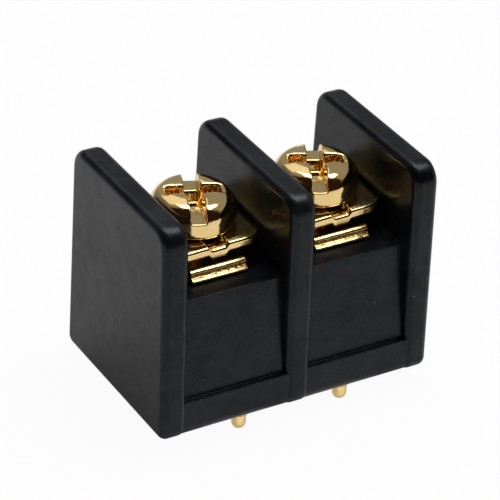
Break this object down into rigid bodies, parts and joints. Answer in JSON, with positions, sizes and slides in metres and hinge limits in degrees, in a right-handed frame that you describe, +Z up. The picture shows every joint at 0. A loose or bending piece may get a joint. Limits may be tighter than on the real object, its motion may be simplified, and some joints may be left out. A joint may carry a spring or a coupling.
{
  "type": "pcb screw terminal",
  "caption": "Black barrier terminal block for a circuit board, with gold-plated clamp screws between tall fins and round solder tails below.",
  "frame": {"origin": "midway between the two solder tails, at the face that sits on the board", "axes": "+X along the row of poles, +Y from the front, where the tails are, to the back, +Z up along the screws"},
  "size_m": [0.0208, 0.014, 0.0171],
  "materials": {
    "housing_plastic": "satin black moulded thermoplastic",
    "plated_strip": "gold-plated stamped brass",
    "plated_clamp": "gold-plated pressed plate, tumbled smooth",
    "plated_screw": "bright gold-plated screw"
  },
  "bodies": {
    "block": {"housing": "housing_plastic", "terminal_left": "plated_strip", "terminal_right": "plated_strip"},
    "left_plate": {"clamp_left": "plated_clamp"},
    "left_clamp_screw": {"screw_left": "plated_screw"},
    "right_plate": {"clamp_right": "plated_clamp"},
    "right_clamp_screw": {"screw_right": "plated_screw"}
  },
  "joints": [
    {"name": "left_lift", "type": "slide", "parent": "block", "child": "left_plate", "axis": [0, 0, 1], "range_m": [-0.0003, 0.0034]},
    {"name": "left_turn", "type": "hinge", "parent": "left_plate", "child": "left_clamp_screw", "pos_m": [-0.00475, 0.006, 0.0121], "axis": [0, 0, 1], "range_deg": [-230.4, 2462.4]},
    {"name": "right_lift", "type": "slide", "parent": "block", "child": "right_plate", "axis": [0, 0, 1], "range_m": [-0.0003, 0.0034]},
    {"name": "right_turn", "type": "hinge", "parent": "right_plate", "child": "right_clamp_screw", "pos_m": [0.00475, 0.006, 0.0121], "axis": [0, 0, 1], "range_deg": [-230.4, 2462.4]}
  ],
  "couplings": [
    {"joint": "left_turn", "follows": "left_lift", "rad_per_m": 12566},
    {"joint": "right_turn", "follows": "right_lift", "rad_per_m": 12566}
  ]
}
